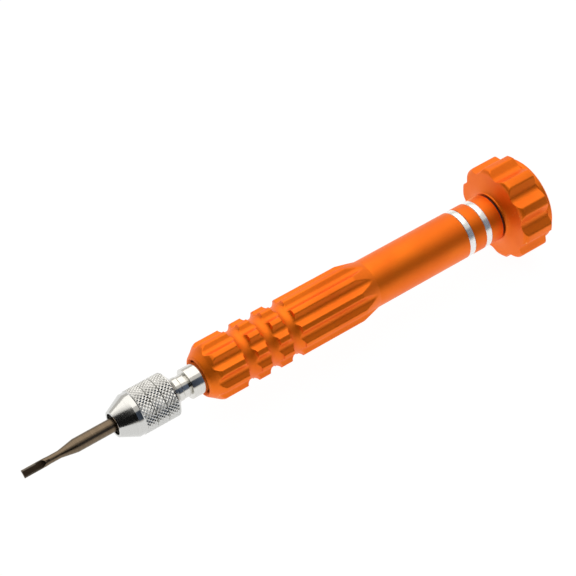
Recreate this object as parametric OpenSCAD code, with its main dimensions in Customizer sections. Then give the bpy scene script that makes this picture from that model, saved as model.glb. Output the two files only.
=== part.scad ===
/* [Overall] */
// Length of the handle tube, from its nose to the first bright ring
handle_length = 64.25; // [58:0.25:78]
// Diameter over the ridges of the grip
grip_diameter = 12.5; // [11.5:0.1:16]
// Diameter of the smooth barrel behind the grip
barrel_diameter = 10.4; // [10:0.1:11]
// Diameter over the ridges of the swivel cap
cap_diameter = 21.1; // [18:0.1:26]

/* [Bit] */
// Diameter of the shank of every bit
bit_diameter = 2.8; // [2.2:0.1:3]
// Length of every bit
bit_length = 36; // [35.8:0.1:37]
// Length of bit that stands out of the chuck
bit_reach = 19.75; // [17:0.25:21]
// Width of the fitted bit's flat blade
blade_width = 1.68; // [1:0.02:2]
// Thickness of the fitted bit's flat blade
blade_thickness = 0.44; // [0.2:0.02:0.6]
// Length of the parallel part of the blade
blade_length = 2.9; // [1.5:0.1:4]
// Turn of the blade about the tool's axis
blade_turn = 34; // [0:1:180]

/* [Chuck] */
// Length of the knurled nut
nut_length = 13.55; // [12.6:0.05:15]
// Diameter over the knurled grip of the nut
nut_diameter = 9.34; // [8.9:0.02:10.4]
// Diameter of the open nose of the nut
nose_bore = 4.56; // [4.2:0.02:4.9]
// Diameter of the spindle's thread
thread_diameter = 5; // [4.6:0.1:5.4]
// Diameter of the spindle's plain neck
neck_diameter = 4.74; // [4.2:0.02:4.9]
// Diameter of the spindle's collar
collar_diameter = 6.42; // [6.2:0.02:6.8]
// Length of the spindle press-fitted into the handle
spigot_length = 10.5; // [6:0.5:11]
// Diameter of the spindle where it is press-fitted
spigot_diameter = 5.8; // [5:0.1:6]
// Length of the bare spindle between the nut and the collar
neck_length = 3; // [2:0.1:4]
// Length of the spindle's collar outside the handle
collar_length = 2.7; // [1.5:0.1:4]
// Depth of the recess in the handle that the collar stands in
recess_depth = 2.5; // [1:0.1:3]
// Radial gap round the collar in that recess
recess_gap = 0.34; // [0.1:0.02:0.5]
// Width of the flat lip round the nut's nose
lip_width = 0.46; // [0.3:0.02:0.6]
// Length of the nut's smooth cone
cone_face = 3.6; // [3:0.1:4]
// Thickness of the magnet behind the bit
magnet_thickness = 1.9; // [1:0.1:2.5]
// Width of each slit in the collet
slit_width = 0.4; // [0.2:0.05:0.6]

/* [Grip] */
// Number of flutes round the grip and round the cap
flute_count = 10; // [8:1:11]
// Depth of the grip's flutes
flute_depth = 0.8; // [0.5:0.05:1]
// Radius in the bottom of the grip's flutes
flute_round = 1.3; // [0.2:0.1:1.6]
// Turn of the grip's flutes about the tool's axis
grip_turn = 13.5; // [0:0.5:36]
// Length of the front section of the grip
front_section = 8.25; // [7:0.25:10]
// Length of each of the two short sections of the grip
short_section = 2.4; // [1.6:0.1:3.6]
// Length of the long section of the grip
long_section = 15; // [12:0.25:18]
// Width of each groove round the grip
groove_width = 2.9; // [2:0.1:3.4]
// Depth of each groove round the grip
groove_depth = 1; // [0.5:0.05:1.1]
// Length of the taper between grip and barrel
taper_length = 4.15; // [3:0.05:7]

/* [Storage end] */
// Length of the thread that holds the storage plug
plug_thread = 6.65; // [6:0.05:8]
// Width of each bright ring
ring_width = 1.45; // [1:0.05:2]
// Length of the coloured sleeve between the bright rings
sleeve_length = 2.9; // [2:0.1:4]
// Length of the coloured collar of the storage plug
plug_collar = 3; // [2:0.1:4]
// Thickness of the cushion that holds the spare bits still
cushion_thickness = 1.4; // [1:0.1:2]
// Radial step from the storage bore to the plug's thread
thread_step = 0.5; // [0.3:0.05:0.6]
// Wire diameter of the plug's O-ring
oring_wire = 0.68; // [0.5:0.02:0.8]

/* [Swivel cap] */
// Length of the fluted part of the cap
cap_length = 8.05; // [7.9:0.05:10]
// Depth of the cap's flutes
cap_flute_depth = 1.35; // [0.8:0.05:1.6]
// Radius in the bottom of the cap's flutes
cap_flute_round = 1.8; // [0.4:0.1:2]
// Turn of the cap's flutes about the tool's axis
cap_turn = 13; // [0:0.5:36]
// Depth of the cap's hollow front, from its neck to its lip
cap_hollow = 1; // [0.6:0.05:1.3]
// Length of the rounded front ends of the cap's ridges
ridge_nose = 1.05; // [0.6:0.05:1.4]
// Gap between the storage plug and the cap
cap_gap = 0.5; // [0.4:0.05:0.8]
// Thickness of the end cover beyond the cap
cover_thickness = 1.45; // [1:0.05:2]
// Bore of the cap's ball bearing
bearing_bore = 4; // [3.4:0.1:4]
// Outside diameter of the cap's ball bearing
bearing_diameter = 9; // [9:0.1:11]
// Thickness of the cap's wall in front of its bearing
cap_web = 2; // [1.8:0.1:2.4]
// Width of the cap's ball bearing
bearing_width = 4; // [3.4:0.1:4]
// Thickness of the retaining clip and of the washer
clip_thickness = 0.4; // [0.3:0.05:0.5]
// Number of balls in the bearing
ball_count = 7; // [5:1:8]

/* [Clearances] */
// Radial clearance of a thread or a turning fit
run_gap = 0.05; // [0.02:0.01:0.09]
// Radial clearance of a bit in the closed collet
grip_gap = 0.02; // [0.01:0.01:0.05]
// Clearance between two faces that meet
face_gap = 0.03; // [0.01:0.01:0.05]
// Clearance of a piece that drops into a groove or lies loose
loose_gap = 0.1; // [0.05:0.01:0.15]

/* [Hidden] */
$fn = 96;
bit_r = bit_diameter / 2;
cone_start = 7.9;
cone_run = 3.45;
blade_r = blade_width / 2;
grip_r = grip_diameter / 2;
barrel_r = barrel_diameter / 2;
cap_r = cap_diameter / 2;
nut_r = nut_diameter / 2;
nose_r = nose_bore / 2;
thread_r = thread_diameter / 2;
neck_r = neck_diameter / 2;
collar_r = collar_diameter / 2;
spigot_r = spigot_diameter / 2;
lip_r = nose_r + lip_width;
socket_r = bit_r + run_gap;
// stations along the tool, measured from the blade's edge
x_nut = bit_reach;
x_nut_end = x_nut + nut_length;
x_collar = x_nut_end + neck_length;
x_handle = x_collar + collar_length;
x_step = x_handle + recess_depth;
thread_end = x_nut_end + 0.4 * neck_length;
x_spigot = x_step + spigot_length;
x_magnet = bit_length + face_gap;
x_magnet_end = x_magnet + magnet_thickness;
x_ring = x_handle + handle_length;
recess_r = collar_r + recess_gap;
edge = 0.1;
// the nut's inside: a bore, a cone that closes the collet, a wider cave and the thread
cone_x = x_nut + 0.75;
cone_slope = 0.368;
cone_length = 2.5;
cave_r = nose_r + cone_slope * cone_length;
spindle_x = x_nut + 4.85;
cave_end = spindle_x + 0.8;
knurl_x = x_nut + 4.75;
knurl_end = x_nut_end - 1.1;
// the cone in the spindle's mouth, which seats the collet's tail
seat_length = 1.3;
seat_mouth = nose_r - 0.03;
seat_slope = (seat_mouth - socket_r) / seat_length;
collet_gap = 0.06;
// grip
nose_length = 3;
groove_1 = x_handle + front_section;
groove_2 = groove_1 + groove_width + short_section;
groove_3 = groove_2 + groove_width + short_section;
long_end = groove_3 + groove_width + long_section;
taper_end = long_end + taper_length;
pitch = 360 / flute_count;
half_flat = 5;
// storage
spare_offset = bit_r * sqrt(2) + 0.03;
store_r = spare_offset + bit_r + 0.09;
plug_bore_r = store_r + thread_step;
plug_r = plug_bore_r - run_gap;
stub_r = plug_bore_r + 0.2;
x_plug = x_ring - plug_thread;
x_cushion = x_plug - cushion_thickness;
x_spare = x_cushion - face_gap - bit_length;
x_store = x_spigot + 2.5;
vent_r = 1.2;
wire_r = oring_wire / 2;
oring_r = plug_r - wire_r - 0.01;
oring_floor = oring_r - wire_r - 0.02;
oring_seat = x_ring - 1.85;
oring_width = oring_wire + 0.47;
x_ring_1 = x_ring + face_gap;
x_sleeve = x_ring_1 + ring_width + face_gap;
x_ring_2 = x_sleeve + sleeve_length;
x_plug_collar = x_ring_2 + ring_width;
x_gap = x_plug_collar + plug_collar;
// swivel cap
x_cap = x_gap + cap_gap;
x_bearing = x_cap + cap_web;
x_bearing_end = x_bearing + bearing_width;
x_clip = x_bearing_end + face_gap;
x_clip_end = x_clip + clip_thickness;
clip_reach = 0.4;
x_pocket = x_clip_end + 0.38;
x_cover = x_cap + cap_length;
x_end = x_cover + cover_thickness;
cap_valley_r = cap_r - cap_flute_depth;
cover_r = cap_valley_r + 0.15;
race_in = bearing_bore / 2;
race_out = bearing_diameter / 2;
race_land = 0.5;
ball_ring_r = (race_in + race_out) / 2;
ball_r = 0.28 * (race_out - race_in);
groove_r = ball_r + 0.02;
shield_thickness = 0.2;
x_balls = x_bearing + bearing_width / 2;
pocket_r = race_out + 3;
boss_r = race_in + 0.7;
web_r = ball_ring_r - race_land + 0.25;
screw_r = 1;
head_r = 1.85;
head_x = x_bearing_end + clip_thickness;

// turns a piece drawn along Z so that it lies along X
module lay() {
  rotate([0, 90, 0]) children();
}

// a solid of revolution from points given as [station, radius]
module turned(pts) {
  lay() rotate_extrude() polygon([for (p = pts) [p[1], p[0]]]);
}

// a plain ring between two stations
module ring(x0, x1, r0, r1) {
  turned([[x0, r0], [x0, r1], [x1, r1], [x1, r0]]);
}

// a plain round bar between two stations
module bar(x0, x1, r) {
  turned([[x0, 0], [x0, r], [x1, r], [x1, 0]]);
}

// one flute cutter lying along X at the top: a V with a round bottom
module flute(x0, x1, outer, depth, round_r) {
  floor_z = outer - depth;
  half_w = outer * sin(pitch / 2 - half_flat);
  rim_z = outer * cos(pitch / 2 - half_flat);
  beta = atan(half_w / (rim_z - floor_z + 0.15 * round_r));
  apex = floor_z + round_r - round_r / sin(beta);
  run = round_r / tan(beta);
  top = outer + 2;
  top_w = (top - apex) * tan(beta);
  lay() translate([0, 0, x0]) linear_extrude(x1 - x0)
    polygon([
      [-apex - run * cos(beta), run * sin(beta)], [-top, top_w],
      [-top, -top_w], [-apex - run * cos(beta), -run * sin(beta)]
    ]);
  lay() translate([-floor_z - round_r, 0, x0]) cylinder(r = round_r, h = x1 - x0);
}

module flutes(x0, x1, outer, depth, round_r, turn) {
  for (i = [0 : flute_count - 1])
    rotate([turn + pitch * (i + 0.5), 0, 0])
      flute(x0, x1, outer, depth, round_r);
}

module handle() {
  color([0.86, 0.25, 0.03])
    difference() {
      turned([
        [x_handle, recess_r], [x_handle, recess_r + 0.16],
        [x_handle + 0.4, grip_r - 1.85], [x_handle + 1.6, grip_r - 0.98],
        [x_handle + 2.4, grip_r - 0.3], [x_handle + nose_length, grip_r],
        for (x = [groove_1, groove_2, groove_3], t = [0 : 30 : 180])
          [x + groove_width / 2 * (1 - cos(t)), grip_r - groove_depth * sin(t)],
        [long_end, grip_r], [taper_end, barrel_r + 0.03], [taper_end + 0.15, barrel_r],
        [x_ring - edge, barrel_r], [x_ring, barrel_r - edge],
        [x_ring, plug_bore_r], [x_plug - 0.3, plug_bore_r], [x_plug - 0.3, store_r],
        [x_store, store_r], [x_store, vent_r], [x_spigot, vent_r], [x_spigot, spigot_r],
        [x_step, spigot_r], [x_step, recess_r]
      ]);
      flutes(x_handle - 1, taper_end + 1, grip_r, flute_depth, flute_round, grip_turn);
    }
}

module chuck_spindle() {
  color([0.75, 0.75, 0.76])
    turned([
      [spindle_x, seat_mouth], [spindle_x, thread_r - edge], [spindle_x + edge, thread_r],
      [thread_end, thread_r], [thread_end + edge, neck_r], [x_collar, neck_r],
      [x_collar, collar_r - edge], [x_collar + edge, collar_r], [x_step, collar_r],
      [x_step, spigot_r], [x_spigot - 0.3, spigot_r], [x_spigot, spigot_r - 0.3], [x_spigot, 0],
      [x_magnet_end, 0], [x_magnet_end, socket_r], [spindle_x + seat_length, socket_r]
    ]);
}

// radius of the seat cone at station x
function seat_at(x) = seat_mouth - seat_slope * (x - spindle_x);

module bit_magnet() {
  color([0.5, 0.5, 0.52])
    bar(x_magnet, x_magnet_end, socket_r);
}

module collet() {
  face = cone_x + 0.4;
  shoulder = cone_x + cone_length - loose_gap;
  top = cave_r - loose_gap;
  tail_x = spindle_x - 0.15;
  tail_end = spindle_x + 0.75 * seat_length;
  color([0.35, 0.33, 0.3])
    difference() {
      turned([
        [face, bit_r + grip_gap], [face, nose_r + (face - cone_x) * cone_slope - collet_gap],
        [shoulder, nose_r + (shoulder - cone_x) * cone_slope - collet_gap], [shoulder + 0.7, top],
        [tail_x, seat_at(tail_x) - loose_gap], [tail_end, seat_at(tail_end) - loose_gap],
        [tail_end, bit_r + grip_gap]
      ]);
      for (a = [0, 120, 240])
        rotate([a + 30, 0, 0])
          translate([cone_x, -slit_width / 2, 0])
            cube([spindle_x - cone_x + 0.1, slit_width, nut_r]);
    }
}

module chuck_nut() {
  seam = (knurl_end - knurl_x) / 3;
  color([0.82, 0.82, 0.83])
    turned([
      [x_nut, nose_r], [x_nut, lip_r - edge], [x_nut + edge, lip_r],
      [x_nut + cone_face, nut_r - 0.14], [knurl_x - edge, nut_r - 0.14], [knurl_x, nut_r],
      for (i = [1, 2], side = [-0.6, 0, 0.6])
        [knurl_x + i * seam + side * edge, side == 0 ? nut_r - edge : nut_r],
      [knurl_end, nut_r], [x_nut_end - edge, thread_r + 0.6], [x_nut_end, thread_r + 0.5],
      [x_nut_end, thread_r + run_gap], [cave_end, thread_r + run_gap], [cave_end, cave_r],
      [cone_x + cone_length, cave_r], [cone_x, nose_r]
    ]);
}

// the shank and neck shared by every bit, blade or tip at station x0
module bit_blank(x0, tip_r, tip_length) {
  turned([
    [x0, 0], [x0, tip_r], [x0 + tip_length, tip_r], [x0 + tip_length + cone_run, bit_r],
    [x0 + bit_length - 0.3, bit_r], [x0 + bit_length, bit_r - 0.3], [x0 + bit_length, 0]
  ]);
}

module slotted_bit() {
  sweep = 2.9;
  half_t = blade_thickness / 2;
  neck = blade_r - 0.06;
  color([0.42, 0.34, 0.26])
    difference() {
      turned([
        [0, 0], [0, blade_r], [blade_length + 1.8, blade_r], [blade_length + 2.7, neck],
        [cone_start, neck], [cone_start + cone_run, bit_r],
        [bit_length - 0.3, bit_r], [bit_length, bit_r - 0.3], [bit_length, 0]
      ]);
      for (a = [0, 180])
        rotate([blade_turn + a, 0, 0]) {
          translate([-1, -2, half_t]) cube([1 + blade_length, 4, 2]);
          translate([blade_length, 2, half_t + sweep]) rotate([90, 0, 0]) cylinder(r = sweep, h = 4);
        }
    }
}

module phillips_tip(x0, r) {
  color([0.42, 0.34, 0.26])
    difference() {
      turned([
        [x0, 0], [x0, 0.15], [x0 + 1.5 * r, r], [x0 + cone_start, r],
        [x0 + cone_start + cone_run, bit_r],
        [x0 + bit_length - 0.3, bit_r], [x0 + bit_length, bit_r - 0.3], [x0 + bit_length, 0]
      ]);
      for (a = [0 : 90 : 270])
        rotate([a + 45, 0, 0])
          translate([x0 - 0.5, 0, 0.28 * r])
            rotate([0, -14, 0])
              rotate([45, 0, 0])
                cube([1 + 2.2 * r, 2 * r, 2 * r]);
    }
}

module torx_tip(x0, r) {
  color([0.42, 0.34, 0.26])
    difference() {
      bit_blank(x0, r, cone_start);
      for (a = [0 : 60 : 300])
        rotate([a, 0, 0])
          translate([x0 - 0.5, 0, 1.05 * r])
            rotate([0, 90, 0])
              cylinder(r = 0.25 * r, h = 2.5);
    }
}

module in_store(quarter) {
  rotate([quarter * 90 + 45, 0, 0])
    translate([0, 0, spare_offset])
      children();
}

module bit_phillips_0() {
  in_store(0) phillips_tip(x_spare, 0.72 * bit_r);
}

module bit_phillips_00() {
  in_store(1) phillips_tip(x_spare, 0.52 * bit_r);
}

module bit_torx_5() {
  in_store(2) torx_tip(x_spare, 0.51 * bit_r);
}

module bit_torx_6() {
  in_store(3) torx_tip(x_spare, 0.62 * bit_r);
}

module trim_ring_front() {
  color([0.9, 0.9, 0.9])
    ring(x_ring_1, x_ring_1 + ring_width, stub_r + run_gap, barrel_r);
}

module spacer_sleeve() {
  color([0.86, 0.25, 0.03])
    ring(x_sleeve, x_ring_2, stub_r, barrel_r);
}

module trim_ring_rear() {
  color([0.9, 0.9, 0.9])
    ring(x_ring_2, x_plug_collar, stub_r, barrel_r);
}

module storage_plug() {
  stud_end = x_bearing_end - loose_gap;
  hole_x = x_gap + 0.6;
  color([0.86, 0.25, 0.03])
    turned([
      [x_plug, 0], [x_plug, plug_r - edge], [x_plug + edge, plug_r],
      [oring_seat, plug_r], [oring_seat, oring_floor],
      [oring_seat + oring_width, oring_floor], [oring_seat + oring_width, plug_r],
      [x_ring_1, plug_r], [x_ring_1, stub_r], [x_plug_collar, stub_r],
      [x_plug_collar, barrel_r], [x_gap - 2 * edge, barrel_r], [x_gap, barrel_r - 2 * edge],
      [x_gap, boss_r], [x_bearing, boss_r], [x_bearing, race_in],
      [stud_end, race_in], [stud_end, screw_r], [hole_x, screw_r], [hole_x, 0]
    ]);
}

module plug_oring() {
  color([0.05, 0.05, 0.05])
    lay() translate([0, 0, oring_seat + oring_width / 2])
      rotate_extrude() translate([oring_r, 0]) circle(r = wire_r);
}

module bit_cushion() {
  color([0.12, 0.12, 0.13])
    bar(x_cushion, x_plug, store_r - 0.15);
}

module dust_seal() {
  color([0.06, 0.06, 0.06])
    ring(x_gap, x_cap - loose_gap, boss_r, barrel_r - 0.35);
}

module bearing_race(r0, r1) {
  difference() {
    ring(x_bearing, x_bearing_end, r0, r1);
    lay() translate([0, 0, x_balls])
      rotate_extrude() translate([ball_ring_r, 0]) circle(r = groove_r);
  }
}

module bearing_inner() {
  color([0.7, 0.7, 0.72])
    bearing_race(race_in, ball_ring_r - race_land);
}

module bearing_outer() {
  color([0.7, 0.7, 0.72])
    bearing_race(ball_ring_r + race_land, race_out);
}

module balls(r) {
  for (i = [0 : ball_count - 1])
    rotate([i * 360 / ball_count, 0, 0])
      translate([x_balls, 0, ball_ring_r])
        sphere(r = r);
}

module bearing_balls() {
  color([0.8, 0.8, 0.82])
    balls(ball_r);
}

module bearing_cage() {
  color([0.65, 0.5, 0.2])
    difference() {
      ring(x_balls - 0.1, x_balls + ball_r + 0.3, ball_ring_r - 0.25, ball_ring_r + 0.25);
      balls(ball_r + 0.03);
    }
}

module bearing_shields() {
  color([0.7, 0.7, 0.72]) {
    for (x = [x_bearing + loose_gap, x_bearing_end - loose_gap - shield_thickness])
      ring(x, x + shield_thickness, ball_ring_r - race_land + loose_gap, ball_ring_r + race_land);
  }
}

module bearing_clip() {
  color([0.3, 0.3, 0.3])
    difference() {
      union() {
        ring(x_clip, x_clip_end, race_out - clip_reach, race_out + clip_reach - run_gap);
        for (a = [-24, 24])
          rotate([a, 0, 0])
            translate([x_clip, 0, race_out - 0.5])
              rotate([0, 90, 0])
                cylinder(r = 0.6, h = clip_thickness);
      }
      rotate([-18, 0, 0])
        translate([x_bearing, 0, 0])
          cube([bearing_width + 2, 2 * race_out, 2 * race_out]);
      for (a = [-24, 24])
        rotate([a, 0, 0])
          translate([x_bearing, 0, race_out - 0.5])
            rotate([0, 90, 0])
              cylinder(r = 0.25, h = 2 * bearing_width);
    }
}

module pivot_washer() {
  color([0.7, 0.7, 0.72])
    ring(x_bearing_end, head_x, screw_r + run_gap, race_in + 0.6);
}

module pivot_screw() {
  tip_x = x_gap + 1.2;
  top_x = head_x + 0.9;
  color([0.7, 0.7, 0.72])
    difference() {
      turned([
        [tip_x, 0], [tip_x, screw_r - grip_gap], [head_x, screw_r - grip_gap], [head_x, head_r],
        [top_x - 0.35, head_r], [top_x, head_r - 0.35], [top_x, 0]
      ]);
      translate([top_x - 0.45, -0.25, -2 * head_r]) cube([1, 0.5, 4 * head_r]);
    }
}

module swivel_cap() {
  neck = barrel_r + 0.1;
  lip = cap_valley_r + 0.15;
  x_lip = x_cap + cap_hollow;
  color([0.86, 0.25, 0.03])
    difference() {
      turned([
        [x_cap, web_r], [x_cap, neck],
        for (t = [15 : 15 : 90]) [x_cap + cap_hollow * sin(t), neck + (lip - neck) * (1 - cos(t))],
        for (t = [30 : 30 : 90]) [x_lip + ridge_nose * (1 - cos(t)), lip + (cap_r - lip) * sin(t)],
        [x_cover - 0.25, cap_r], [x_cover, cap_r - 0.25],
        [x_cover, pocket_r], [x_pocket, pocket_r], [x_pocket, race_out],
        [x_clip_end + face_gap, race_out], [x_clip_end + face_gap, race_out + clip_reach],
        [x_bearing_end, race_out + clip_reach], [x_bearing_end, race_out],
        [x_bearing, race_out], [x_bearing, web_r]
      ]);
      flutes(x_cap - 1, x_cover + 1, cap_r, cap_flute_depth, cap_flute_round, cap_turn);
    }
}

module cap_cover() {
  dish = 0.15;
  color([0.86, 0.25, 0.03])
    turned([
      [x_cover, 0], [x_cover, pocket_r - 1.3], [x_pocket + loose_gap, pocket_r - 1.3],
      [x_pocket + loose_gap, pocket_r], [x_cover, pocket_r], [x_cover, cover_r],
      [x_end - 0.45, cover_r], [x_end - dish, cover_r - dish], [x_end, cover_r - 0.5],
      [x_end, cover_r - 1.4], [x_end - dish, cover_r - 1.4 - dish], [x_end - dish, 0]
    ]);
}

handle();
chuck_spindle();
bit_magnet();
collet();
chuck_nut();
slotted_bit();
bit_phillips_0();
bit_phillips_00();
bit_torx_5();
bit_torx_6();
trim_ring_front();
spacer_sleeve();
trim_ring_rear();
storage_plug();
plug_oring();
bit_cushion();
dust_seal();
bearing_inner();
bearing_balls();
bearing_cage();
bearing_outer();
bearing_shields();
bearing_clip();
pivot_washer();
pivot_screw();
swivel_cap();
cap_cover();
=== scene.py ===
# %% [markdown]
# # A watchmaker's screwdriver
#
# This lesson builds the looks of a slim screwdriver that takes small bits: a fluted orange handle, a
# knurled chuck, two bright rings and a cap that spins under the fingertip. The exact model already says
# where every part sits and how it moves. What is added here is what a machinist and an anodiser add:
# broken edges, knurling, threads, brushed and blasted surfaces.
#
# Nearly every part of this tool comes off a lathe, so nearly every mesh below is an outline turned round
# the X axis. X runs from the blade to the cap, and Z is up.

# %% Load the exact model
import math

import bmesh
import bpy
from mathutils import Matrix, Vector


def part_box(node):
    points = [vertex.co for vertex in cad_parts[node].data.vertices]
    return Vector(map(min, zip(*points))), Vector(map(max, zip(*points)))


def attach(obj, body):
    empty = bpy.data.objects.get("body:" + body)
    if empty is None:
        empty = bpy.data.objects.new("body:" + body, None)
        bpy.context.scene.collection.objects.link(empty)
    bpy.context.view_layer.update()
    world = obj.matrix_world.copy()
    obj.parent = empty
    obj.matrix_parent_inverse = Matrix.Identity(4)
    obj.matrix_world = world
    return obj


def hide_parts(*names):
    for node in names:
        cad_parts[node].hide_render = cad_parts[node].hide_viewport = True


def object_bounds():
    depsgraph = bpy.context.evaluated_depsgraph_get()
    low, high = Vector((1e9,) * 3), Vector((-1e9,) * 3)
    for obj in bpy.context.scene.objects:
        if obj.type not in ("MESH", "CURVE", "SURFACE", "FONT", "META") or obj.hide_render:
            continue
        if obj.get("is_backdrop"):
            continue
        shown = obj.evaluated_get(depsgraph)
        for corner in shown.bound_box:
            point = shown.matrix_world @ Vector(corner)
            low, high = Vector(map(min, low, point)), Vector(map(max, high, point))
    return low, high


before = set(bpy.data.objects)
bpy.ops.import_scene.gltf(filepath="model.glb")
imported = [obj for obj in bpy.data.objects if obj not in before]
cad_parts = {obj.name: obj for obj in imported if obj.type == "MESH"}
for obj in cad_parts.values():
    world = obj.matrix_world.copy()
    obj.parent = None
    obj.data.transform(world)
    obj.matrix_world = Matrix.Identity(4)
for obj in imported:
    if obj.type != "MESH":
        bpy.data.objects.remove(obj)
cad_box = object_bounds()
MM = 0.001
print("parts in the exact model:", len(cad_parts))

# %% [markdown]
# ## Reading sizes from the exact model
#
# Positions aren't typed in. Each one is asked for from the part it belongs to, so that the two models
# can't drift apart. `span` gives the three numbers that a turned part needs: where it starts, where it
# ends and how thick it is.

# %% Measure the turned parts
def span(node):
    """First and last station along the tool, and the largest radius, of one exact part."""
    low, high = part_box(node)
    radius = max(math.hypot(v.co.y, v.co.z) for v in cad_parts[node].data.vertices)
    return low.x, high.x, radius


NUT_START, NUT_END, NUT_R = span("chuck_nut")
HANDLE_START, HANDLE_END, GRIP_R = span("handle")
CAP_START, CAP_END, CAP_R = span("swivel_cap")
COVER_START, COVER_END, COVER_R = span("cap_cover")
RING_START, _, BARREL_R = span("trim_ring_front")
_, BIT_END, BIT_R = span("slotted_bit")
SPINDLE_START, SPINDLE_END, COLLAR_R = span("chuck_spindle")
PLUG_START = span("storage_plug")[0]
print(f"grip {2 * GRIP_R / MM:.2f} mm, barrel {2 * BARREL_R / MM:.2f} mm, cap {2 * CAP_R / MM:.2f} mm")

# %% [markdown]
# ## Camera
#
# A long lens from a little over a foot away flattens the tool the way product pictures do. The camera
# looks down along the tool from the blade's end. It is aimed with a view direction and no roll, which is
# easier to reason about than three Euler angles.

# %% Place the camera
CAMERA_AT = Vector((-75.696, -189.157, 278.740)) * MM
CAMERA_LOOK = Vector((0.38485, 0.53392, -0.75288))
SENSOR_MM = 36.0
LENS_MM = 114.51

camera = bpy.data.objects.new("camera", bpy.data.cameras.new("camera"))
camera.data.sensor_width = SENSOR_MM
camera.data.lens = LENS_MM
camera.data.clip_start = 10 * MM
camera.data.clip_end = 10
right = CAMERA_LOOK.cross(Vector((0, 0, 1))).normalized()
up = right.cross(CAMERA_LOOK).normalized()
turn = Matrix((right, up, -CAMERA_LOOK.normalized())).transposed()
camera.matrix_world = Matrix.Translation(CAMERA_AT) @ turn.to_4x4()
bpy.context.scene.collection.objects.link(camera)
bpy.context.scene.camera = camera
print("camera distance to the blade:", round(CAMERA_AT.length / MM), "mm")

# %% [markdown]
# ## Outlines with broken edges
#
# A turned part is half its section, drawn as (station, radius) points, spun round the axis. Real turned
# edges are never knife sharp: the tool leaves a small radius or the operator breaks the edge, and that
# little curve is what catches the light. `round_corners` puts an arc in every corner of an outline.
# Blender's bevel modifier could do it on the finished mesh, but on an outline it is exact, cheap, and the
# quads stay clean.

# %% Helpers for outlines
LONGEST_REACH = 0.45
NEARLY_STRAIGHT = math.radians(88)
TINY = 1e-7


def round_corners(points, radius, steps=4, closed=True):
    """An outline with its corners rounded. A third number on a point is that corner's own radius."""
    count = len(points)
    result = []
    for i, point in enumerate(points):
        here = Vector(point[:2])
        corner = point[2] if len(point) > 2 else radius
        if not closed and i in (0, count - 1):
            result.append(here)
            continue
        back = Vector(points[i - 1][:2]) - here
        ahead = Vector(points[(i + 1) % count][:2]) - here
        half = back.angle(ahead) / 2
        reach = min(corner / math.tan(half), LONGEST_REACH * back.length, LONGEST_REACH * ahead.length)
        if corner <= 0 or reach < TINY or half > NEARLY_STRAIGHT:
            result.append(here)
            continue
        start, end = here + back.normalized() * reach, here + ahead.normalized() * reach
        for k in range(steps + 1):
            t = k / steps
            result.append((1 - t) ** 2 * start + 2 * t * (1 - t) * here + t * t * end)
    return result


def refine(outline, step, low=-1.0, high=1.0, closed=True):
    """Splits the outline's long straight runs between two stations, so that they can carry relief."""
    result = []
    count = len(outline)
    for i, here in enumerate(outline):
        result.append(here)
        if not closed and i == count - 1:
            break
        ahead = outline[(i + 1) % count]
        inside = low <= (here.x + ahead.x) / 2 <= high
        pieces = math.ceil((ahead - here).length / step) if inside else 1
        for k in range(1, pieces):
            result.append(here.lerp(ahead, k / pieces))
    return result


# %% [markdown]
# ## Turning an outline into a mesh
#
# `turn_mesh` is the lathe. Angle 0 points up and grows towards -Y. The optional `relief` function may
# change the radius at any angle and station, which is how flutes, knurls and threads are cut: every
# vertex is put where the cutter would have left it, with no boolean that could leave slivers. Points that
# meet on the axis are merged, so a closed end has no stray faces.

# %% The lathe
def even_angles(count):
    """Angles all the way round, evenly spread."""
    return [2 * math.pi * i / count for i in range(count)]


def bridge(mesh, rings, closed):
    """Joins each ring of vertices to the next with four-sided faces."""
    for i in range(len(rings) if closed else len(rings) - 1):
        a, b = rings[i], rings[(i + 1) % len(rings)]
        for j in range(len(a)):
            k = (j + 1) % len(a)
            mesh.faces.new((a[j], b[j], b[k], a[k]))


def turn_mesh(name, outline, angles, relief=None, closed=True, sharp=35):
    """A new object: the outline turned round X, its radius changed by relief(angle, station, radius)."""
    mesh = bmesh.new()
    rings = []
    for station, radius in outline:
        ring = []
        for angle in angles:
            r = relief(angle, station, radius) if relief else radius
            ring.append(mesh.verts.new((station, -r * math.sin(angle), r * math.cos(angle))))
        rings.append(ring)
    bridge(mesh, rings, closed)
    return finish_mesh(name, mesh, sharp)


def finish_mesh(name, mesh, sharp=35):
    """Merges doubled points, turns faces outward and makes an object with smooth shading."""
    bmesh.ops.remove_doubles(mesh, verts=mesh.verts, dist=TINY)
    bmesh.ops.dissolve_degenerate(mesh, dist=1e-8, edges=mesh.edges)
    bmesh.ops.recalc_face_normals(mesh, faces=mesh.faces)
    data = bpy.data.meshes.new(name)
    mesh.to_mesh(data)
    mesh.free()
    data.shade_smooth()
    data.set_sharp_from_angle(angle=math.radians(sharp))
    piece = bpy.data.objects.new(name, data)
    bpy.context.scene.collection.objects.link(piece)
    return piece


def fit(piece, body, nodes, material):
    """Says which body a piece rides on, what it stands for and what it is made of."""
    piece.data.materials.append(material)
    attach(piece, body)
    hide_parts(*nodes)
    print(f"{piece.name}: {len(piece.data.polygons)} faces, on {body}")
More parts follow.
